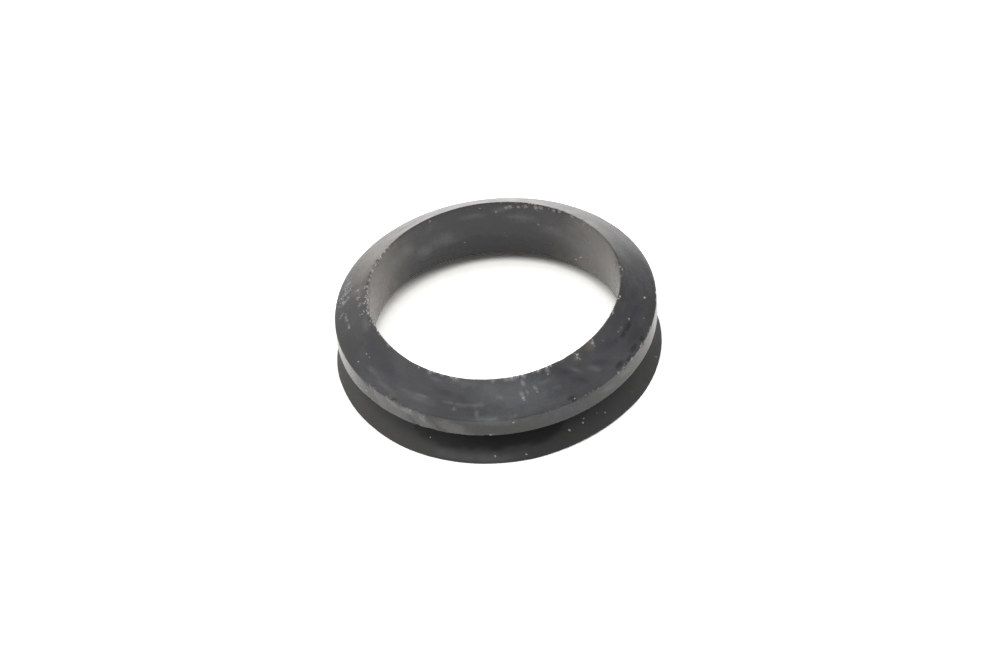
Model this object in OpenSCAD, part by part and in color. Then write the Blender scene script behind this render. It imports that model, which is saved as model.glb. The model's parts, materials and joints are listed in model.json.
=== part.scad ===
// V-ring seal with a tapered back: one moulded rubber ring that stretches over
// a shaft and wipes a flat counterface with its thin conical lip.
// Z runs along the bore, and the lip's wiping edge is at the bottom, on z = 0.

/* [Ring] */
// Free inner diameter of the ring
bore_d = 36; // [16:0.5:80]
// Radial thickness of the body
body_t = 5; // [4.5:0.25:6.5]
// Width of the wall that grips the shaft
base_w = 9; // [8:0.25:10.5]
// Free width over everything, lip included
free_w = 12; // [11:0.25:13.5]

/* [Back] */
// Height of the tapered back
taper_h = 3.7; // [2.5:0.1:4.5]
// Width of the narrow flat round the bore's rim
rim_flat = 0.25; // [0.1:0.05:1]

/* [Land] */
// Height of the straight outer face under the taper
land_h = 2.9; // [2:0.1:3.6]

/* [Groove] */
// Depth of the V-groove, to the point where its sides would meet
groove_depth = 3.5; // [2.8:0.1:3.7]
// Radius of the groove's round root
groove_r = 0.45; // [0.2:0.05:0.6]

/* [Lip] */
// Height of rubber at the lip's hinge, from the foot to the groove's point
hinge_h = 1.25; // [0.8:0.05:1.6]
// How far the lip stands out past the land
lip_reach = 0.4; // [0:0.1:1]
// Height of the lip's blunt edge
lip_edge_h = 0.35; // [0.2:0.05:0.6]
// Width of the ring that wipes the counterface
seat_w = 0.4; // [0.2:0.05:0.7]
// Width of the flat foot between the bore and the lip's hinge
foot_w = 1.5; // [0.8:0.1:1.9]

/* [Edges] */
// Rounding of the body's moulded edges
edge_r = 0.15; // [0.05:0.05:0.25]
// Rounding of the lip's own edges
lip_r = 0.08; // [0.02:0.02:0.1]
// Rounding in the hollow where the lip's underside leaves the foot
hollow_r = 0.8; // [0.3:0.1:1.2]

/* [Hidden] */
$fn = 120;

bore_r = bore_d / 2;
body_r = bore_r + body_t;
foot_z = free_w - base_w;
land_top_z = free_w - taper_h;
land_bottom_z = land_top_z - land_h;

// Corners of the section as [radius, height], in the order its outline runs
bore_foot = [bore_r, foot_z];
hinge = [bore_r + foot_w, foot_z];
seat_inner = [body_r + lip_reach - seat_w, 0];
seat_outer = [body_r + lip_reach, 0];
lip_top = [body_r + lip_reach, lip_edge_h];
groove_point = [body_r - groove_depth, foot_z + hinge_h];
land_bottom = [body_r, land_bottom_z];
land_top = [body_r, land_top_z];
rim_outer = [bore_r + rim_flat, free_w];
rim_inner = [bore_r, free_w];

function unit(v) = v / norm(v);

// The sliver between corner b, whose neighbours are a and c, and the arc that rounds it
module sliver(a, b, c, r) {
    to_a = unit(a - b);
    to_c = unit(c - b);
    half_angle = acos(to_a * to_c) / 2;
    tangent = r / tan(half_angle);
    centre = b + unit(to_a + to_c) * r / sin(half_angle);
    difference() {
        polygon([b, b + to_a * tangent, centre, b + to_c * tangent]);
        translate(centre) circle(r);
    }
}

// The section with every corner sharp
module sharp_section() {
    polygon([
        bore_foot, hinge, seat_inner, seat_outer, lip_top,
        groove_point, land_bottom, land_top, rim_outer, rim_inner
    ]);
}

// The section as moulded: outer corners rounded off, the groove's root and the hollow filled
module section() {
    difference() {
        sharp_section();
        sliver(rim_inner, bore_foot, hinge, edge_r);
        sliver(seat_inner, seat_outer, lip_top, lip_r);
        sliver(seat_outer, lip_top, groove_point, lip_r);
        sliver(groove_point, land_bottom, land_top, edge_r);
        sliver(land_bottom, land_top, rim_outer, edge_r);
    }
    sliver(bore_foot, hinge, seat_inner, hollow_r);
    sliver(lip_top, groove_point, land_bottom, groove_r);
}

module v_ring() {
    color([0.2, 0.2, 0.21]) rotate_extrude() section();
}

v_ring();
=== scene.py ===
import json
import math
from collections import namedtuple

import bpy
from mathutils import Matrix, Vector, noise


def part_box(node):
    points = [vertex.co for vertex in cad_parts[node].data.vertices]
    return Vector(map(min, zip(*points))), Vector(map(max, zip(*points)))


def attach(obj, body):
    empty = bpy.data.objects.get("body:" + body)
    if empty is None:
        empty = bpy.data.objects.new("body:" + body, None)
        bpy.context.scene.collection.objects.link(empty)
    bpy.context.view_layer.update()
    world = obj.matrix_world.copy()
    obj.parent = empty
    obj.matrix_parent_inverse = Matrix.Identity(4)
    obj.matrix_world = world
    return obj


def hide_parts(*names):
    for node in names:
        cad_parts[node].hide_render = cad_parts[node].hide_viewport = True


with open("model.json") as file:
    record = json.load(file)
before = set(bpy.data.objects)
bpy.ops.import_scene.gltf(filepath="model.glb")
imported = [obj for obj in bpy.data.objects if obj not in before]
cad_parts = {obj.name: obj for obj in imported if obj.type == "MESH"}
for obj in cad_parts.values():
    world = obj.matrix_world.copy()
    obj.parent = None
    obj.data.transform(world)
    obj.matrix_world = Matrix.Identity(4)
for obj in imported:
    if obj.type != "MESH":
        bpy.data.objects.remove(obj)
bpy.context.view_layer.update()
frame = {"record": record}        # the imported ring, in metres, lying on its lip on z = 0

mm = 0.001


# The camera looks down on the ring through a long lens and leans a little to one side.
camera = {
    "elevation": 44.05,            # degrees above the table
    "roll": -5.26,                 # degrees
    "distance": 667 * mm,
    "lens": 167, "sensor": 36,     # mm
    "nearest": 0.01, "farthest": 20,      # metres
    "lookAt": (0, 0, 4.6 * mm),    # a point inside the ring
    "aside": (0.39 * mm, -1.27 * mm),   # the ring sits a little left of and above the middle
}


def placeCamera():
    climb = math.radians(camera["elevation"])
    back = Vector((0, -math.cos(climb), math.sin(climb)))
    right = Vector((1, 0, 0))
    turn = Matrix((right, back.cross(right), back)).transposed()
    turn = turn @ Matrix.Rotation(math.radians(camera["roll"]), 3, "Z")
    aim = Vector(camera["lookAt"]) + turn.col[0] * camera["aside"][0] + turn.col[1] * camera["aside"][1]
    place = turn.to_4x4()
    place.translation = aim + back * camera["distance"]
    bpy.ops.object.camera_add()
    eye = bpy.context.object
    eye.matrix_world = place
    eye.data.lens = camera["lens"]
    eye.data.sensor_width = camera["sensor"]
    eye.data.clip_start = camera["nearest"]
    eye.data.clip_end = camera["farthest"]
    bpy.context.scene.camera = eye


class Number:        # a socket that can stand in a sum
    def __init__(self, shader, socket):
        self.shader = shader
        self.socket = socket

    def __add__(self, other):
        return self.shader.maths("ADD", self, other)

    def __radd__(self, other):
        return self.shader.maths("ADD", other, self)

    def __sub__(self, other):
        return self.shader.maths("SUBTRACT", self, other)

    def __rsub__(self, other):
        return self.shader.maths("SUBTRACT", other, self)

    def __mul__(self, other):
        return self.shader.maths("MULTIPLY", self, other)

    def __rmul__(self, other):
        return self.shader.maths("MULTIPLY", other, self)

    def also(self, output):      # another output of the same node
        return Number(self.shader, self.socket.node.outputs[output])


class Shader:
    def __init__(self, tree):
        self.tree = tree

    def node(self, kind, settings=None, sockets=None, output=0):
        made = self.tree.nodes.new("ShaderNode" + kind)
        for name, value in (settings or {}).items():
            setattr(made, name, value)
        for name, value in (sockets or {}).items():
            self.feed(made.inputs[name], value)
        return Number(self, made.outputs[output])

    def feed(self, socket, value):
        if isinstance(value, Number):
            self.tree.links.new(value.socket, socket)
        else:
            socket.default_value = value

    def maths(self, operation, *values):
        return self.node("Math", {"operation": operation}, dict(enumerate(values)))

    def fade(self, value, low, high):      # 0 under low, 1 over high, smooth between
        return self.node("MapRange", {"interpolation_type": "SMOOTHSTEP"},
                         {"Value": value, "From Min": low, "From Max": high})

    def mix(self, share, under, over):      # sockets 6 and 7 of a Mix node are its two colours
        colours = {socket: colour if isinstance(colour, Number) else (*colour, 1)
                   for socket, colour in ((6, under), (7, over))}
        return self.node("Mix", {"data_type": "RGBA"}, {0: share, **colours}, output=2)

    def vector(self, operation, *values, output=0):      # a plain float among the values is a scale
        sockets = {name: value for name, value in enumerate(values) if not isinstance(value, float)}
        sockets.update({"Scale": value for value in values if isinstance(value, float)})
        return self.node("VectorMath", {"operation": operation}, sockets, output=output)

    def cloud(self, place, grain, detail=2, roughness=0.5):      # noise with lumps about one grain across
        return self.node("TexNoise", None,
                         {"Vector": place, "Scale": 1 / grain, "Detail": detail, "Roughness": roughness})

    def scatter(self, place, grain, size, share):      # round crumbs in some cells of a scattered grid
        cells = self.node("TexVoronoi", None, {"Vector": place, "Scale": 1 / grain}, output="Distance")
        chosen = self.node("SeparateColor", None, {0: cells.also("Color")})
        return (1 - self.fade(cells, size / 2, size)) * self.fade(chosen, 1 - share, 1.02 - share)


def dropSelection():
    if bpy.context.object and bpy.context.object.mode != "OBJECT":
        bpy.ops.object.mode_set(mode="OBJECT")
    bpy.ops.object.select_all(action="DESELECT")


def pick(piece, pointWanted=None, edgeWanted=None):      # leaves the wanted points or edges selected
    bpy.ops.object.mode_set(mode="EDIT")
    bpy.ops.mesh.select_mode(type="EDGE" if edgeWanted else "VERT")
    bpy.ops.mesh.select_all(action="DESELECT")
    bpy.ops.object.mode_set(mode="OBJECT")
    points = piece.data.vertices
    if pointWanted:
        for point in points:
            point.select = pointWanted(point.co)
    if edgeWanted:
        for edge in piece.data.edges:
            start, end = edge.vertices
            edge.select = edgeWanted(points[start].co, points[end].co)
    bpy.ops.object.mode_set(mode="EDIT")


# The ring's moulded section.
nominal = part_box("v_ring")
ring = {
    "boreRadius": frame["record"]["mounts"][0]["dims"]["r_mm"] * mm,
    "lipRadius": nominal[1].x,
    "height": nominal[1].z,
    "bodyThickness": 5 * mm,
    "footHeight": 3 * mm,
    "footWidth": 1.5 * mm,
    "seatWidth": 0.4 * mm,
    "lipEdge": 0.18 * mm,
    "grooveDepth": 3.5 * mm,
    "hingeHeight": 1.25 * mm,
    "landHeight": 2.9 * mm,
    "taperHeight": 3.7 * mm,
    "rimFlat": 0.14 * mm,
    "spinSteps": 240, "spinCuts": 3,      # stations round the ring, each then cut into four
    "close": 0.01 * mm, "merged": 0.002 * mm, "level": 0.0005 * mm,      # how near counts as the same
}
ring["bodyRadius"] = ring["boreRadius"] + ring["bodyThickness"]
ring["landTop"] = ring["height"] - ring["taperHeight"]
ring["landBottom"] = ring["landTop"] - ring["landHeight"]


# Where two sides of the section meet, how far back its rounding starts, and the cuts in the side that follows
Corner = namedtuple("Corner", "radius height setback cuts")


def sectionCorners():      # from the foot of the bore round the lip and up to the rim
    bore, body, lip = ring["boreRadius"], ring["bodyRadius"], ring["lipRadius"]
    foot, top = ring["footHeight"], ring["height"]
    return [
        Corner(bore, foot, 0, 1),
        Corner(bore + ring["footWidth"], foot, 0.3 * mm, 5),
        Corner(lip - ring["seatWidth"], 0, 0.03 * mm, 0),
        Corner(lip, 0, 0.04 * mm, 0),
        Corner(lip, ring["lipEdge"], 0.05 * mm, 9),
        Corner(body - ring["grooveDepth"], foot + ring["hingeHeight"], 0.7 * mm, 5),
        Corner(body, ring["landBottom"], 0.16 * mm, 12),
        Corner(body, ring["landTop"], 0.07 * mm, 20),
        Corner(bore + ring["rimFlat"], top, 0.09 * mm, 0),
        Corner(bore, top, 0.03 * mm, 12),
    ]


def inPlane(corner):      # the section is drawn on y = 0
    return Vector((corner.radius, 0, corner.height))


def onSide(start, end):      # tests for the straight edge that is left of one side between its roundings
    first = inPlane(start)
    along = (inPlane(end) - first).normalized()

    def test(a, b):
        parallel = abs((b - a).normalized().dot(along)) > 0.999
        distance = ((a + b) / 2 - first).cross(along).length
        return parallel and distance < ring["close"] and (b - a).length > 0.2 * mm
    return test


def drawSection(name):
    corners = sectionCorners()
    dropSelection()
    bpy.ops.mesh.primitive_plane_add(size=mm)
    piece = bpy.context.object
    piece.name = name
    bpy.ops.object.mode_set(mode="EDIT")
    bpy.ops.mesh.merge(type="CENTER")
    bpy.ops.transform.translate(value=inPlane(corners[0]))
    for before, corner in zip(corners, corners[1:]):
        step = inPlane(corner) - inPlane(before)
        bpy.ops.mesh.extrude_region_move(TRANSFORM_OT_translate={"value": step})
    ends = [inPlane(corners[0]), inPlane(corners[-1])]
    pick(piece, lambda point: min((point - end).length for end in ends) < ring["close"])
    bpy.ops.mesh.edge_face_add()
    for corner in corners:
        if corner.setback:
            pick(piece, lambda point: (point - inPlane(corner)).length < ring["close"])
            bpy.ops.mesh.bevel(offset=corner.setback, segments=3, affect="VERTICES")
    for corner, following in zip(corners, corners[1:] + corners[:1]):
        if corner.cuts:
            pick(piece, edgeWanted=onSide(corner, following))
            bpy.ops.mesh.subdivide(number_cuts=corner.cuts)
    return piece


def runsRound(start, end):      # an edge from one station of the ring to the next
    return abs(start.z - end.z) + abs(start.xy.length - end.xy.length) < ring["level"]


def spinRing(piece):
    bpy.ops.mesh.select_all(action="SELECT")
    bpy.ops.mesh.spin(steps=ring["spinSteps"], angle=2 * math.pi, center=(0, 0, 0), axis=(0, 0, 1))
    bpy.ops.mesh.select_all(action="SELECT")
    bpy.ops.mesh.remove_doubles(threshold=ring["merged"])
    bpy.ops.mesh.normals_make_consistent(inside=False)
    pick(piece, edgeWanted=runsRound)
    bpy.ops.mesh.subdivide(number_cuts=ring["spinCuts"])
    bpy.ops.object.mode_set(mode="OBJECT")


# How the soft ring lies: a little out of round, its back not quite level, its trimmed edges ragged.
lie = {
    "oval": 0.0104, "ovalTurn": 41,            # share of the radius, and the direction of the long axis
    "tip": 0.0105, "tipTurn": 39,              # share of the height, and the side that is higher
    "wave": 0.019, "waveTurn": -5.6,           # the same, with two high sides
    "swell": 0.018 * mm, "swellGrain": 3.2 * mm,      # slow hills and hollows of a moulded skin
    "flatBelow": 0.1 * mm,                     # what lies on the table has none
    "lipSwing": 0.06 * mm, "lipGrain": 7 * mm,
}
bends = {      # how far each goes, then where: middle and half width in degrees, strength
    "lipTuck": (0.12 * mm, [(214, 26, 1.0), (302, 24, 1.2)]),      # the lip flares less
    "lipFlare": (0.08 * mm, [(180, 13, 1.0), (340, 22, 0.8), (0, 14, 0.6)]),
    "lipLift": (0.2 * mm, [(306, 26, 1.0)]),      # the lip doesn't quite reach the table
    "bodyFlare": (0.11 * mm, [(20, 60, 1.0), (158, 60, 1.0)]),
    "footDrop": (1.0 * mm, [(74, 58, 1.0)]),      # the foot of the bore hangs lower
    "rimSag": (0.19 * mm, [(258, 40, 1.0)]),      # the rim is pressed lower
}
zones = {      # the parts that bend: radius at which each starts, radius at which it is full, then heights
    "lip": (21 * mm, 23 * mm, 2.4 * mm, 2.399 * mm),
    "body": (20 * mm, 22.5 * mm, 4.8 * mm, 4.801 * mm),
    "foot": (21.5 * mm, 19.5 * mm, 4 * mm, 3 * mm),
    "rim": (21 * mm, 19 * mm, 8 * mm, 11 * mm),
}
trims = {      # edges left by the mould and the knife: how far the damage reaches and where it is worst
    "land": {
        "corner": ("bodyRadius", "landTop"), "reach": 0.4 * mm, "tooth": 0.8 * mm,
        "push": (-0.34 * mm, 0.22 * mm),      # the deepest nick moves the edge so far out and up
        "worst": [(-42, 42, 1.0), (226, 16, 1.0), (-15, 30, 0.5)], "rest": 0.1,
    },
    "shoulder": {
        "corner": ("bodyRadius", "landBottom"), "reach": 0.35 * mm, "tooth": 0.8 * mm,
        "push": (-0.1 * mm, 0.12 * mm),
        "worst": [(248, 30, 1.0), (215, 16, 0.6)], "rest": 0.08,
    },
    "rim": {
        "corner": ("boreRadius", "height"), "reach": 0.5 * mm, "tooth": 0.62 * mm,
        "push": (0.3 * mm, -0.4 * mm),
        "worst": [(174, 40, 1.0), (62, 38, 0.5), (-50, 24, 0.35)], "rest": 0.05,
    },
}


def ramp(value, start, full):      # 0 before the start, 1 past where it is full
    return max(0, min(1, (value - start) / (full - start)))


def asItLies(point, turn):
    out = 1 + lie["oval"] * math.cos(2 * (turn - math.radians(lie["ovalTurn"])))
    up = 1 + lie["tip"] * math.cos(turn - math.radians(lie["tipTurn"]))
    up += lie["wave"] * math.cos(2 * (turn - math.radians(lie["waveTurn"])))
    return Vector((point.x * out, point.y * out, point.z * up))


def stretchShare(turn, stretches, rest=0):      # how strong a thing is at this place round the ring
    share = rest
    for centre, halfWidth, strength in stretches:
        away = abs((math.degrees(turn) - centre + 180) % 360 - 180)
        share = max(share, strength * max(0, 1 - (away / halfWidth) ** 2))
    return share


def toothBite(place):      # 0 where the edge is whole, 1 at the bottom of a nick: steps, then unevenness
    midCell = Vector((0, 0, 0.5))      # the cells' own walls lie on whole numbers
    depth = 0.75 * noise.cell(place + midCell) - 0.12
    depth += 0.6 * noise.noise(place * 1.3) + 0.15 * noise.noise(place * 2.9)
    return max(0, min(1, depth))


def tornAway(radius, height, turn, outward):      # how far the nicks move a place, and how worn it is
    move, worn = Vector((0, 0, 0)), 0
    for trim in trims.values():
        corner = Vector([ring[key] for key in trim["corner"]])
        away = (Vector((radius, height)) - corner).length
        if away > trim["reach"]:
            continue
        share = stretchShare(turn, trim["worst"], trim["rest"]) * min(1, 1.5 * (1 - away / trim["reach"]))
        out, up = trim["push"]
        move += (outward * out + Vector((0, 0, up))) * share * toothBite(outward * radius / trim["tooth"])
        worn = max(worn, share)
    return move, worn


def bentAway(radius, height, turn, place):      # how far the rubber gives, outwards and up
    by = {name: distance * stretchShare(turn, stretches) for name, (distance, stretches) in bends.items()}
    on = {zone: ramp(radius, *limits[:2]) * ramp(height, *limits[2:]) for zone, limits in zones.items()}
    swing = lie["lipSwing"] * noise.noise(place / lie["lipGrain"])
    out = on["lip"] * (swing + by["lipFlare"] - by["lipTuck"]) + on["body"] * by["bodyFlare"]
    up = on["lip"] * by["lipLift"] - on["foot"] * by["footDrop"] - on["rim"] * by["rimSag"]
    return out, up


# What has settled or rubbed on the skin, and some painted shadow and painted reflection, in the order in
# which it is laid on. A spot is its turn in degrees, its share of the way up its side, then half its width
# round the ring and half its width across, in mm.
patches = {
    "plums": {      # darker, a little violet
        "soft": 1.0, "slant": 1.9, "colour": (0.038, 0.035, 0.048), "cover": (0.8, 0),
        "spots": {
            "taper": [
                (205, 0.7, 4.2, 1.6), (219, 0.55, 3.4, 1.4), (246, 0.6, 3.0, 0.8), (254, 0.5, 1.2, 1.2),
                (287, 0.3, 2.4, 0.7), (297, 0.72, 1.6, 1.4), (301, 0.4, 1.0, 1.8), (322, 0.6, 2.8, 1.6),
                (343, 0.5, 4.0, 1.3), (333, 0.25, 2.6, 0.9), (276, 0.26, 2.8, 0.5),
                (314, 0.4, 1.2, 1.6), (352, 0.6, 2.6, 1.2),
            ],
            "land": [(293, 0.5, 6.0, 3.0)],
        },
    },
    "boreReflection": {      # pale grey patches on the bore, a painted reflection of the lit table
        "soft": 0.9, "slant": -0.6, "colour": (0.15, 0.15, 0.148), "cover": (0.7, 0),
        "spots": {
            "bore": [
                (60, 0.5, 2.6, 1.1), (112, 0.44, 3.2, 1.8), (122, 0.36, 2.4, 1.6), (84, 0.86, 2.0, 0.6),
                (84.6, 0.8, 0.7, 0.3), (40, 0.46, 2.8, 2.4), (96, 0.75, 3.0, 0.7), (142, 0.6, 3.0, 2.2),
                (74, 0.68, 3.4, 1.1), (133, 0.6, 2.4, 2.0), (47, 0.4, 1.8, 1.8),
            ],
        },
    },
    "bloom": {      # pale dry film, wiped to a slant
        "soft": 1.0, "slant": 1.5, "colour": (0.124, 0.129, 0.134), "cover": (0.42, 0.56),
        "spots": {
            "taper": [
                (269, 0.56, 1.4, 0.6), (275, 0.5, 9.0, 6.0), (266, 0.8, 4.6, 2.4), (261, 0.4, 1.6, 0.5),
                (281, 0.4, 3.6, 1.1), (287, 0.68, 2.6, 0.6), (268, 0.1, 5.0, 0.7),
                (256, 0.88, 4.6, 1.2), (253, 0.36, 1.8, 0.35), (236, 0.3, 3.6, 0.8),
                (222, 0.2, 2.4, 0.5), (291, 0.46, 1.4, 0.5), (309, 0.42, 0.8, 1.2),
                (302, 0.62, 0.5, 1.1), (241, 0.85, 2.4, 0.5), (331, 0.62, 1.2, 0.25),
                (194, 0.8, 2.0, 0.8), (214, 0.3, 2.0, 0.4), (266, -0.02, 9.0, 1.3),
            ],
            "land": [(311, 0.5, 2.0, 1.0), (320, 0.6, 2.4, 1.0)],
            "lip": [(262, 0.12, 7.0, 1.1), (250, 0.14, 5.0, 0.9)],
        },
    },
    "wipes": {      # paler strokes across it
        "soft": 0.9, "slant": 0.1, "colour": (0.3, 0.305, 0.315), "cover": (0.1, 0.28),
        "spots": {
            "taper": [
                (258.8, 0.37, 1.9, 0.36), (268.4, 0.54, 0.9, 0.55), (261.4, 0.37, 0.6, 0.4),
                (248, 0.37, 1.1, 0.3), (251, 0.24, 0.5, 0.3), (238, 0.37, 1.4, 0.26),
                (259.6, 0.18, 0.5, 0.9), (264, 0.04, 2.6, 0.34), (273, 0.07, 1.6, 0.3),
            ],
        },
    },
    "leftLandGlare": {      # pale patches on the land to the left, a painted reflection
        "soft": 0.7, "slant": 0.8, "colour": (0.19, 0.188, 0.18), "cover": (0.35, 0.4),
        "spots": {
            "land": [
                (198, 0.5, 6.6, 4.0), (228, 0.5, 3.6, 3.4), (239, 0.5, 2.4, 3.0), (251, 0.4, 2.8, 2.0),
                (222, 0.5, 2.0, 3.0),
            ],
        },
    },
    "smears": {      # short wipes of chalk
        "soft": 0.8, "slant": 0.5, "colour": (0.3, 0.305, 0.315), "cover": (0.2, 0.65),
        "spots": {
            "taper": [
                (278.6, 0.8, 0.3, 0.75), (277.2, 0.54, 0.4, 0.7), (279.5, 0.56, 0.3, 0.5),
                (283.2, 0.6, 0.35, 0.6), (305.2, 0.84, 0.55, 0.4), (315.4, 0.9, 0.5, 0.6),
                (188, 0.37, 0.8, 0.2), (183, 0.33, 0.9, 0.25), (180.5, 0.75, 0.6, 0.5),
                (174, 0.27, 0.5, 0.7), (168.5, 0.3, 0.6, 1.2), (163, 0.24, 0.5, 1.0),
                (176, 0.7, 0.5, 0.4), (237, 0.96, 0.7, 0.4), (249, 0.96, 0.9, 0.4),
                (266, 0.96, 0.6, 0.35), (273.5, 0.95, 1.5, 0.5), (279.5, 0.95, 0.5, 0.5),
                (286.5, 0.96, 0.8, 0.4), (290.5, 0.9, 0.4, 0.6), (243, 0.97, 0.5, 0.3),
                (212, 0.97, 0.6, 0.3),
            ],
            "land": [
                (228, 0.82, 1.3, 0.6), (233, 0.75, 1.7, 0.6), (239.5, 0.6, 0.6, 1.1),
                (264.5, 0.05, 0.8, 0.3), (225, 0.9, 0.9, 0.4),
            ],
            "bore": [(85, 0.79, 0.9, 0.25), (92, 0.88, 1.4, 0.25)],
        },
    },
    "stains": {      # brown smudges
        "soft": 1.0, "slant": 0, "colour": (0.125, 0.101, 0.078), "cover": (0.7, 0),
        "spots": {
            "taper": [
                (313.5, 0.87, 1.3, 1.0), (305, 0.84, 1.1, 0.9), (226.5, 0.1, 1.0, 0.6),
                (171, 0.55, 1.3, 1.1), (251, 0.9, 0.5, 0.5), (146, 0.5, 8, 4.4), (160, 0.6, 4, 2.2),
                (173, 0.74, 2.4, 1.3),
            ],
            "bore": [
                (48, 0.1, 0.7, 0.7), (118, 0.8, 1.2, 1.0), (34, 0.12, 0.9, 0.9), (42, 0.7, 1.2, 0.8),
            ],
        },
    },
    "soot": {      # small black spots
        "soft": 0.6, "slant": 0, "colour": (0.008, 0.008, 0.008), "cover": (0.65, 0),
        "spots": {
            "taper": [
                (329.5, 0.5, 1.0, 0.3), (334.5, 0.5, 1.3, 0.42), (200.5, 0.53, 0.6, 0.22),
                (318.5, 0.11, 1.1, 0.45), (328, 0.12, 1.5, 0.4), (323.5, 0.05, 1.2, 0.25),
                (334, 0.08, 0.9, 0.3), (295, 0.1, 0.8, 0.4), (228, 0.06, 0.6, 0.3),
                (155.7, 0.35, 0.35, 0.3), (325, 0.53, 0.5, 0.2),
            ],
            "land": [(295.3, 0.98, 0.6, 0.45), (227, 0.99, 0.4, 0.3)],
        },
    },
    "grooveShadow": {      # painted shadow of the land, low in the groove, with a clear edge
        "soft": 0.25, "slant": 0, "colour": (0.008, 0.008, 0.008), "cover": (0.8, 0),
        "spots": {
            "lip": [(262, 0.64, 12.0, 1.95), (246, 0.64, 6.0, 1.9), (281, 0.64, 5.0, 1.9)],
        },
    },
    "scuffs": {      # full of small pale crumbs, so without a colour of its own
        "soft": 0.6, "slant": 0.4,
        "spots": {
            "taper": [
                (160, 0.2, 0.8, 0.8), (167, 0.33, 0.7, 1.1), (173, 0.26, 0.8, 1.2),
                (180, 0.2, 0.5, 0.8), (160.5, 0.93, 0.6, 0.6), (166, 0.2, 0.6, 0.6),
                (172, 0.92, 0.7, 0.7), (181, 0.95, 0.8, 0.7), (188, 0.95, 0.8, 0.6),
                (195, 0.94, 0.5, 0.5), (171, 0.66, 0.4, 0.8), (176, 0.7, 0.4, 0.9),
                (181, 0.74, 0.4, 0.9), (186, 0.82, 0.5, 0.8), (278, 0.42, 0.35, 0.4),
                (316, 0.96, 0.5, 0.4), (306, 0.9, 0.4, 0.5), (276, 0.985, 1.0, 0.3),
                (285, 0.985, 1.0, 0.3), (292, 0.985, 0.7, 0.3), (232, 0.985, 0.5, 0.25),
                (239, 0.985, 0.5, 0.25), (247, 0.985, 0.7, 0.25), (10, 0.93, 0.5, 0.35),
                (5, 0.94, 0.7, 0.4), (0, 0.96, 0.6, 0.3), (345, 0.97, 0.8, 0.25),
                (336, 0.96, 0.7, 0.25), (170, 0.22, 0.6, 1.0), (152, 0.97, 1.6, 0.4),
                (161, 0.97, 1.4, 0.45), (178, 0.96, 1.4, 0.4),
            ],
            "land": [(235, 0.9, 0.5, 0.3), (240.5, 0.8, 0.4, 0.4), (226, 0.95, 0.5, 0.4)],
            "bore": [
                (66, 0.95, 1.2, 0.5), (72, 0.93, 0.6, 0.4), (79, 0.9, 1.0, 0.45), (56, 0.96, 1.6, 0.4),
                (47, 0.96, 1.2, 0.4), (41, 0.96, 0.7, 0.4), (115, 0.96, 1.5, 0.35),
                (129, 0.96, 1.5, 0.35), (101, 0.97, 1.2, 0.3),
            ],
        },
    },
}
outline = {      # how uneven the edge of a patch is
    "share": 0.2, "grain": 1.3 * mm,
    "fineGrain": 0.4 * mm,      # only above the groove
    "margin": 1.4,      # room left for it round a spot
}
specks = {      # small pale dots, drawn by the material: turn, share of the way up, half their width in mm
    "flecks": {
        "taper": [
            (353, 0.32, 0.21), (338, 0.56, 0.22), (346, 0.94, 0.24), (205.5, 0.2, 0.17),
            (206, 0.46, 0.14), (208, 0.46, 0.13), (147, 0.36, 0.11), (296, 0.06, 0.12),
            (290, 0.8, 0.12), (251, 0.27, 0.1), (343, 0.22, 0.1),
        ],
        "land": [(214, 0.42, 0.24), (272.6, 0.78, 0.2), (264, 0.04, 0.2)],
        "lip": [
            (346, 0.1, 0.17), (310, 0.34, 0.14), (307, 0.45, 0.12), (300, 0.42, 0.17), (301, 0.5, 0.12),
            (294, 0.4, 0.22), (276, 0.12, 0.14), (265, 0.17, 0.13), (240, 0.46, 0.14),
        ],
        "bore": [(44, 0.18, 0.16), (44.6, 0.14, 0.16), (47.5, 0.04, 0.16)],
    },
    "chalk": {
        "taper": [
            (145, 0.99, 0.24), (148, 0.98, 0.34), (152, 0.99, 0.28), (155, 0.98, 0.3),
            (158, 0.99, 0.28), (161.5, 0.98, 0.34), (165, 0.99, 0.28), (168, 0.98, 0.3),
            (172, 0.99, 0.3), (175, 0.98, 0.26), (178.5, 0.98, 0.3), (183, 0.98, 0.3),
            (237, 0.98, 0.24), (239, 0.97, 0.2), (247, 0.97, 0.24), (249.5, 0.96, 0.22),
            (271, 0.97, 0.24), (274, 0.96, 0.3), (276.5, 0.96, 0.24), (279, 0.97, 0.26),
            (286.5, 0.97, 0.28), (290.5, 0.98, 0.3), (292.5, 0.97, 0.24), (277.3, 0.44, 0.22),
            (283.4, 0.5, 0.16), (305.2, 0.84, 0.2), (306, 0.78, 0.18), (315.6, 0.9, 0.24),
            (315.2, 0.82, 0.18), (329, 0.63, 0.16), (332, 0.62, 0.14), (343, 0.24, 0.12),
            (184.5, 0.36, 0.18), (188.5, 0.37, 0.2), (182.5, 0.33, 0.16), (180.5, 0.32, 0.18),
        ],
        "land": [
            (324, 0.98, 0.3), (316, 0.98, 0.3), (341, 0.8, 0.14), (331, 0.98, 0.3), (319.5, 0.96, 0.24),
            (334, 0.97, 0.24), (219, 0.9, 0.2),
        ],
        "lip": [(325, 0.25, 0.12)],
        "bore": [
            (81, 0.88, 0.38), (79.3, 0.9, 0.46), (75.2, 0.91, 0.38), (71.5, 0.93, 0.42),
            (66.8, 0.94, 0.46), (64.4, 0.95, 0.46), (58, 0.96, 0.36), (55, 0.97, 0.36),
            (48, 0.97, 0.34), (93, 0.91, 0.2), (85.8, 0.8, 0.28), (66.2, 0.57, 0.2), (118, 0.95, 0.3),
            (101.7, 0.22, 0.14),
        ],
    },
}


def spotsOf(sides):      # each spot, with the side that it is on
    for side, spots in sides.items():
        for spot in spots:
            yield (side, *spot)


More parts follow.
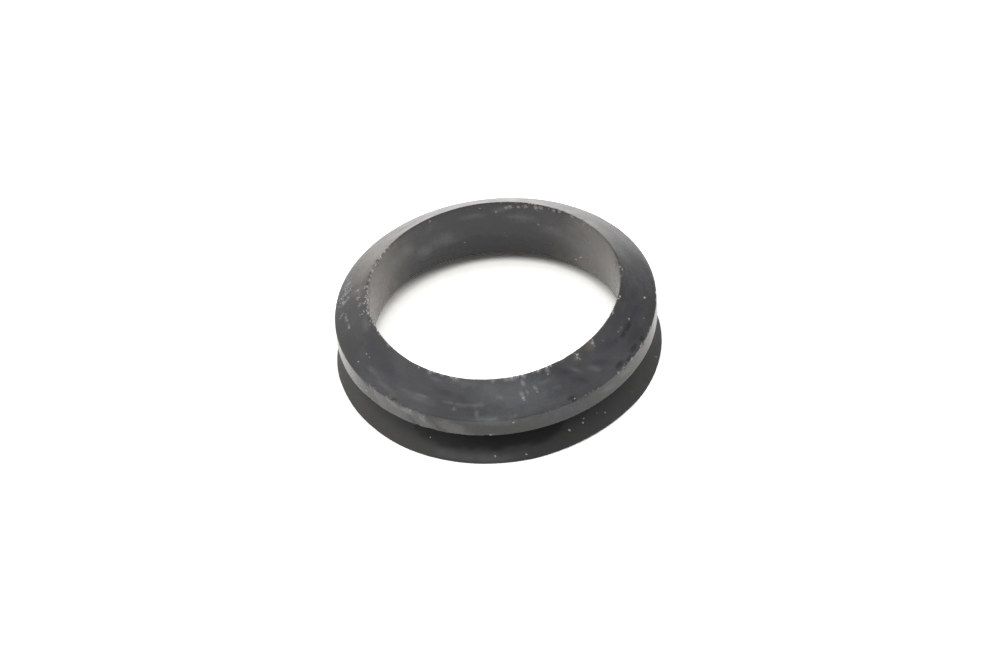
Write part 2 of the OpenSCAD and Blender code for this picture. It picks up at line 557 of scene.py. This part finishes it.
def onSurface(side, share):      # radius and height of a place on one side of the section
    bore, body = ring["boreRadius"], ring["bodyRadius"]
    low, high = {
        "taper": ((body, ring["landTop"]), (bore, ring["height"])),
        "land": ((body, ring["landBottom"]), (body, ring["landTop"])),
        "lip": ((ring["lipRadius"], ring["lipEdge"]),
                (body - ring["grooveDepth"], ring["footHeight"] + ring["hingeHeight"])),
        "bore": ((bore, ring["footHeight"]), (bore, ring["height"])),
    }[side]
    return low[0] + (high[0] - low[0]) * share, low[1] + (high[1] - low[1]) * share


def patchesByStation(stations):      # the spots that may reach each station round the ring
    reached = [[] for station in range(stations)]
    for kind, patch in patches.items():
        for side, turn, share, halfRound, halfAcross in spotsOf(patch["spots"]):
            radius, height = onSurface(side, share)
            lean = abs(patch["slant"]) * halfAcross
            reach = math.ceil((halfRound + lean) * outline["margin"] * mm / radius / math.tau * stations)
            middle = round(turn / 360 * stations)
            spot = (kind, radius, height, math.radians(turn), halfRound * mm, halfAcross * mm)
            for station in range(middle - reach, middle + reach + 1):
                reached[station % stations].append(spot)
    return reached


def patchShares(spots, radius, height, turn, place):      # how strongly each kind of patch covers this place
    ripple = noise.noise(place / outline["grain"])
    if height > ring["landBottom"]:
        ripple += noise.noise(place / outline["fineGrain"])
    edge = 1 + ripple * outline["share"]
    shares = dict.fromkeys(patches, 0)
    for kind, middleRadius, middleHeight, middleTurn, halfRound, halfAcross in spots:
        rise = height - middleHeight
        across = math.hypot(radius - middleRadius, rise) / halfAcross
        around = radius * math.remainder(turn - middleTurn, math.tau) + patches[kind]["slant"] * rise
        inside = (edge - math.hypot(around / halfRound, across)) / patches[kind]["soft"]
        inside = max(0, min(1, inside))
        shares[kind] = max(shares[kind], inside * inside * (3 - 2 * inside))
    return shares


def shapeRing(piece):
    mesh = piece.data
    names = ["mouldRadius", "mouldHeight", "wear"] + list(patches)
    held = {name: [] for name in names}
    stations = ring["spinSteps"] * (ring["spinCuts"] + 1)
    reached = patchesByStation(stations)
    normals = [point.normal.copy() for point in mesh.vertices]
    for normal, point in zip(normals, mesh.vertices):
        place = point.co.copy()
        turn = math.atan2(place.y, place.x)
        outward = Vector((place.x, place.y, 0)).normalized()
        radius, height = place.xy.length, place.z
        move, worn = tornAway(radius, height, turn, outward)
        if height > lie["flatBelow"]:
            move += normal * lie["swell"] * noise.noise(place / lie["swellGrain"])
        out, up = bentAway(radius, height, turn, place)
        point.co = asItLies(place + move + outward * out + Vector((0, 0, up)), turn)
        spots = reached[round(turn / math.tau * stations) % stations]
        values = patchShares(spots, radius, height, turn, place)
        values.update(mouldRadius=radius, mouldHeight=height, wear=worn)
        for name in names:
            held[name].append(values[name])
    for name in names:
        mesh.attributes.new(name, "FLOAT", "POINT").data.foreach_set("value", held[name])
    mesh.update()


def speckPlaces(kind):
    for side, turn, share, halfWidth in spotsOf(specks[kind]):
        radius, height = onSurface(side, share)
        angle = math.radians(turn)
        place = Vector((radius * math.cos(angle), radius * math.sin(angle), height))
        yield asItLies(place, angle), halfWidth * mm


rubber = {
    # the bore is painted darker than the rest of the rubber, as painted shade inside the ring
    "black": (0.043, 0.043, 0.0435), "boreShadeBlack": (0.018, 0.018, 0.0175), "lipBlack": (0.047, 0.047, 0.045),
    "landBlack": (0.045, 0.045, 0.038), "landShare": 0.5,
    "boreTopLight": (0.036, 0.035, 0.037), "boreTopLightHeights": (4.9 * mm, 6.2 * mm),      # painted light, lighter high on the bore
    "flankTan": (0.235, 0.212, 0.184), "flankTanEnds": (0.5, 0.86),      # tan on both sides of the bore, fading out towards its back
    "outerLipLight": (0.066, 0.065, 0.06), "outerLipLightRadii": (21.4 * mm, 22.4 * mm),      # painted light on the outer lip, mostly to the left
    "haze": (0.078, 0.079, 0.083), "hazeClouds": (0.38, 0.62),      # thin bloom, and with it a painted sheen on the front of the taper
    "hazeShare": 0.1, "hazeOnTaper": 0.4, "frontSheen": 0.45, "hazeGrains": 0.1,
    "violet": (0.048, 0.045, 0.058), "violetClouds": (0.48, 0.7), "violetShare": 0.4,
    "dust": (0.62, 0.6, 0.57), "dustShare": 0.85,
    "scuffCrumbs": (0.3 * mm, 0.45, 0.75),      # the grid they lie in, their size in it, their share of it
    "tornCrumbs": (0.45 * mm, 0.5, 0.5),
    "strayCrumbs": (2.1 * mm, 0.05, 0.14),
    "roughness": 0.24, "boreRoughness": 0.22, "lipRoughness": 0.5, "landPolish": -0.09,
    "refraction": 1.46,
    "broadGrain": 6 * mm, "grain": 2.2 * mm, "fineGrain": 0.4 * mm,      # sizes of the clouds
    "streakWidth": 1.1 * mm, "streakRound": 6 * mm,      # the smaller the second, the longer the streaks
    "wobble": 0.36 * mm, "wobbleGrain": 0.35 * mm,       # keeps the specks from being round
    "relief": 0.02 * mm,
}


def rubberMaterial():
    material = bpy.data.materials.new("mouldedRubber")
    material.use_nodes = True
    shader = Shader(material.node_tree)
    surface = material.node_tree.nodes["Principled BSDF"]
    place = shader.node("TexCoord", output="Object")

    def onMesh(name):
        return shader.node("Attribute", {"attribute_name": name}, output="Fac")

    radius, height, worn = onMesh("mouldRadius"), onMesh("mouldHeight"), onMesh("wear")
    patched = {kind: onMesh(kind) for kind in patches}

    # 1 on a side of the section, 0 off it
    offBore = shader.fade(radius, ring["boreRadius"] + 0.03 * mm, ring["boreRadius"] + 0.2 * mm)
    onTaper = shader.fade(height, ring["landTop"] - 0.05 * mm, ring["landTop"] + 0.06 * mm) * offBore
    offLip = shader.fade(height, ring["landBottom"] - 0.6 * mm, ring["landBottom"] - 0.2 * mm)
    onLip = (1 - offLip) * offBore
    onLand = (1 - onTaper) * offLip * offBore

    broad = shader.cloud(place, rubber["broadGrain"], 2)
    patch = shader.cloud(place, rubber["grain"], 2)
    fine = shader.cloud(place, rubber["fineGrain"], 3, 0.6)
    compass = shader.vector("NORMALIZE", shader.vector("MULTIPLY", place, (1, 1, 0)))
    facing = shader.node("SeparateXYZ", None, {0: compass})      # its X is to the right, its Y to the back
    lane = shader.node("CombineXYZ", None, {"Z": radius - height})
    stretched = shader.vector("ADD", shader.vector("SCALE", compass, rubber["streakRound"]), lane)
    streak = shader.cloud(stretched, rubber["streakWidth"], 4, 0.6)      # turning marks of the mould
    wobble = shader.cloud(place, rubber["wobbleGrain"], 1).also("Color")
    loose = shader.vector("ADD", place, shader.vector("SCALE", wobble, rubber["wobble"]))
    looseMiddle = Vector((0.5, 0.5, 0.5)) * rubber["wobble"]

    def coat(under, kind):      # one kind of patch over what is there
        least, byCloud = patches[kind]["cover"]
        share = patched[kind] * (least + byCloud * patch if byCloud else least)
        if kind == "leftLandGlare":      # the painted reflection ends at the land's edge
            share = share * (1 - onTaper)
        return shader.mix(share, under, patches[kind]["colour"])

    def spread(kind, softness):      # 1 on the specks of one kind, 0 off them
        share = 0.0
        for spot, halfWidth in speckPlaces(kind):
            away = shader.vector("DISTANCE", loose, spot + looseMiddle, output="Value")
            dot = 1 - shader.fade(away, halfWidth * (1 - softness), halfWidth)
            share = shader.maths("MAXIMUM", share, dot)
        return share

    # The plain rubber of each side, with the haze that lies on it, a tan on the sides of the bore, and
    # painted shade and light: the bore darker and lighter towards its top, the outer lip lighter, a sheen on
    # the front of the taper
    lumps = (patch - 0.5) * 0.6 + (broad - 0.5) * 0.4
    back = facing.also("Y") - 0.1 * facing + lumps * 0.35      # largest at the back of the bore
    # the bore tan on its sides, fading out towards its back
    flanks = (1 - shader.fade(back, *rubber["flankTanEnds"])) * (1 - offBore)
    # painted shade and light on the bore: darker than the rest, lighter towards its top
    upper = shader.fade(height + lumps * 5 * mm, *rubber["boreTopLightHeights"])
    colour = shader.mix(offBore, shader.mix(upper, rubber["boreShadeBlack"], rubber["boreTopLight"]), rubber["black"])
    colour = shader.mix(flanks * (0.5 + 0.4 * broad), colour, rubber["flankTan"])
    colour = shader.mix(onLip, colour, rubber["lipBlack"])
    # painted light: the outer lip lighter, most of all to the left
    outerLip = shader.fade(radius, *rubber["outerLipLightRadii"]) * onLip
    colour = shader.mix(outerLip * shader.fade(0.3 - facing, 0.1, 1.1), colour, rubber["outerLipLight"])
    haze = shader.fade(broad * 0.5 + streak * 0.3 + patch * 0.2, *rubber["hazeClouds"])
    hazed = haze * (rubber["hazeShare"] + rubber["hazeOnTaper"] * onTaper)
    # a painted sheen: the front of the taper lighter, in the haze colour
    inFront = shader.fade(0 - facing.also("Y"), 0.3, 0.85) * onTaper
    colour = shader.mix(hazed + inFront * rubber["frontSheen"], colour, rubber["haze"])
    violet = shader.fade(patch, *rubber["violetClouds"]) * rubber["violetShare"] * onTaper
    colour = shader.mix(violet, colour, rubber["violet"])
    colour = shader.mix(onLand * rubber["landShare"], colour, rubber["landBlack"])

    # laid on in turn, among them the painted reflection on the bore
    for kind in ("plums", "boreReflection", "bloom", "wipes", "leftLandGlare", "smears", "stains"):
        colour = coat(colour, kind)
    grains = shader.fade(fine, 0.5, 0.8) * offBore * rubber["hazeGrains"]
    colour = shader.mix(grains, colour, rubber["haze"])
    # small black spots, then the painted shadow under the land in the groove
    for kind in ("soot", "grooveShadow"):
        colour = coat(colour, kind)

    # Pale crumbs: in the scuffs, in the marked places, on torn edges, and a few stray ones
    scuffed = patched["scuffs"] * shader.scatter(place, *rubber["scuffCrumbs"]) * (0.6 + 1.1 * fine)
    chalk = spread("chalk", 0.7) * (0.2 + fine) * (1 - 0.3 * offBore)
    nearRim = shader.fade(height, 11 * mm, 11.5 * mm)
    rough = shader.fade(worn, 0.1, 0.6) * shader.scatter(place, *rubber["tornCrumbs"])
    rough = rough * (0.12 + 0.4 * nearRim)
    stray = shader.scatter(place, *rubber["strayCrumbs"]) * 0.25
    crumbs = shader.maths("MAXIMUM", scuffed, spread("flecks", 0.5))
    for more in (chalk, rough, stray):
        crumbs = shader.maths("MAXIMUM", crumbs, more)
    colour = shader.mix(crumbs * rubber["dustShare"], colour, rubber["dust"])

    skin = (patch * 1.2 + fine * 0.08 + streak * 0.35) * (0.06 + 0.94 * onTaper + 0.5 * onLip)
    bump = shader.node("Bump", None, {"Strength": 0.6, "Distance": rubber["relief"], "Height": skin})
    gloss = rubber["boreRoughness"] + offBore * (rubber["roughness"] - rubber["boreRoughness"])
    gloss = gloss + onLip * (rubber["lipRoughness"] - rubber["roughness"]) + onLand * rubber["landPolish"]
    gloss = gloss + (patch - 0.5) * 0.12 + haze * 0.05 + crumbs * 0.4
    shader.feed(surface.inputs["Base Color"], colour)
    shader.feed(surface.inputs["Roughness"], gloss)
    shader.feed(surface.inputs["Normal"], bump)
    surface.inputs["IOR"].default_value = rubber["refraction"]
    return material


def makeRing():
    piece = drawSection("sealRing")
    spinRing(piece)
    shapeRing(piece)
    dropSelection()
    piece.select_set(True)
    bpy.context.view_layer.objects.active = piece
    bpy.ops.object.shade_smooth_by_angle(angle=math.radians(38))
    bpy.ops.object.modifier_add(type="WEIGHTED_NORMAL")      # the sides stay flat beside the rounded edges
    piece.modifiers[-1].keep_sharp = True
    bpy.ops.object.modifier_apply(modifier=piece.modifiers[-1].name)
    piece.data.materials.append(rubberMaterial())
    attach(piece, "root")
    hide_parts("v_ring")
    print("ring:", len(piece.data.polygons), "faces")


# A white table in a pale tent that is open towards the front right, under one broad soft lamp.
studio = {
    "floorSize": 3,      # metres
    "floorWhite": (0.85, 0.85, 0.85),
    "floorSeen": (1.88, 1.87, 1.8),      # what the camera has, so that only deep shade on it is grey
    "floorMirrored": (1.52, 1.5, 1.47),
    "lampPlace": (-0.01, 0, 0.6), "lampWidth": 1.6, "lampDepth": 0.75, "lampPower": 5.95,
    "fill": 0.17,      # how strongly the tent lights, beside how bright it is in the gloss
    "dimSides": [      # where it is open: direction, cosine at which that starts and is full, brightness left
        ((0.25, -0.85, 0.45), 0.3, 0.9, 0.22),
        ((0.75, 0.6, 0.25), 0.55, 0.95, 0.35),
    ],
    "wall": (1.0, 0.99, 0.975), "roof": (0.98, 0.99, 1.0),
    "wallTop": 0.05, "roofEdge": 0.7,      # 0 is level and 1 straight up
}


def mirrorRays(shader):      # 1 for what a gloss or a clear piece looks at
    rays = shader.node("LightPath", output="Is Glossy Ray")
    return shader.maths("MAXIMUM", rays, rays.also("Is Transmission Ray"))


def cameraRays(shader):
    return shader.node("LightPath", output="Is Camera Ray")


def makeFloor():
    dropSelection()
    bpy.ops.mesh.primitive_plane_add(size=studio["floorSize"])
    floor = bpy.context.object
    floor.name = "table"
    material = bpy.data.materials.new("whiteTable")
    material.use_nodes = True
    shader = Shader(material.node_tree)
    material.node_tree.nodes.remove(material.node_tree.nodes["Principled BSDF"])
    plain, mirrored, seen = (shader.node("BsdfDiffuse", None, {"Color": (*studio[white], 1)})
                             for white in ("floorWhite", "floorMirrored", "floorSeen"))
    bare = shader.node("MixShader", None, {0: mirrorRays(shader), 1: plain, 2: mirrored})
    whole = shader.node("MixShader", None, {0: cameraRays(shader), 1: bare, 2: seen})
    shader.feed(material.node_tree.nodes["Material Output"].inputs["Surface"], whole)
    floor.data.materials.append(material)


def makeTent():
    world = bpy.data.worlds.new("tent")
    bpy.context.scene.world = world
    world.use_nodes = True
    shader = Shader(world.node_tree)
    backdrop = world.node_tree.nodes["Background"]
    towards = shader.node("TexCoord", output="Generated")
    level = 1.0
    for middle, start, full, brightness in studio["dimSides"]:
        facing = shader.vector("DOT_PRODUCT", towards, Vector(middle).normalized(), output="Value")
        level = level * (1 - shader.fade(facing, start, full) * (1 - brightness))
    height = shader.node("SeparateXYZ", None, {0: towards}, output="Z")
    rise = shader.fade(height, studio["wallTop"], studio["roofEdge"])
    tint = shader.mix(rise, studio["wall"], studio["roof"])
    seen = cameraRays(shader)      # the camera has it plain white
    gloss = mirrorRays(shader)
    strength = gloss * level + (1 - gloss) * studio["fill"]
    shader.feed(backdrop.inputs["Color"], shader.mix(seen, tint, (1, 1, 1)))
    shader.feed(backdrop.inputs["Strength"], shader.maths("MAXIMUM", strength, seen))


def hangLamp():
    bpy.ops.object.light_add(type="AREA", location=studio["lampPlace"])
    lamp = bpy.context.object
    lamp.data.shape = "ELLIPSE"
    lamp.data.size = studio["lampWidth"]
    lamp.data.size_y = studio["lampDepth"]
    lamp.data.energy = studio["lampPower"]
    lamp.visible_glossy = False      # the rubber mirrors only the tent


placeCamera()
print("camera placed")
makeRing()
makeFloor()
makeTent()
hangLamp()
bpy.context.scene.view_settings.view_transform = "Standard"
print("table and light set")
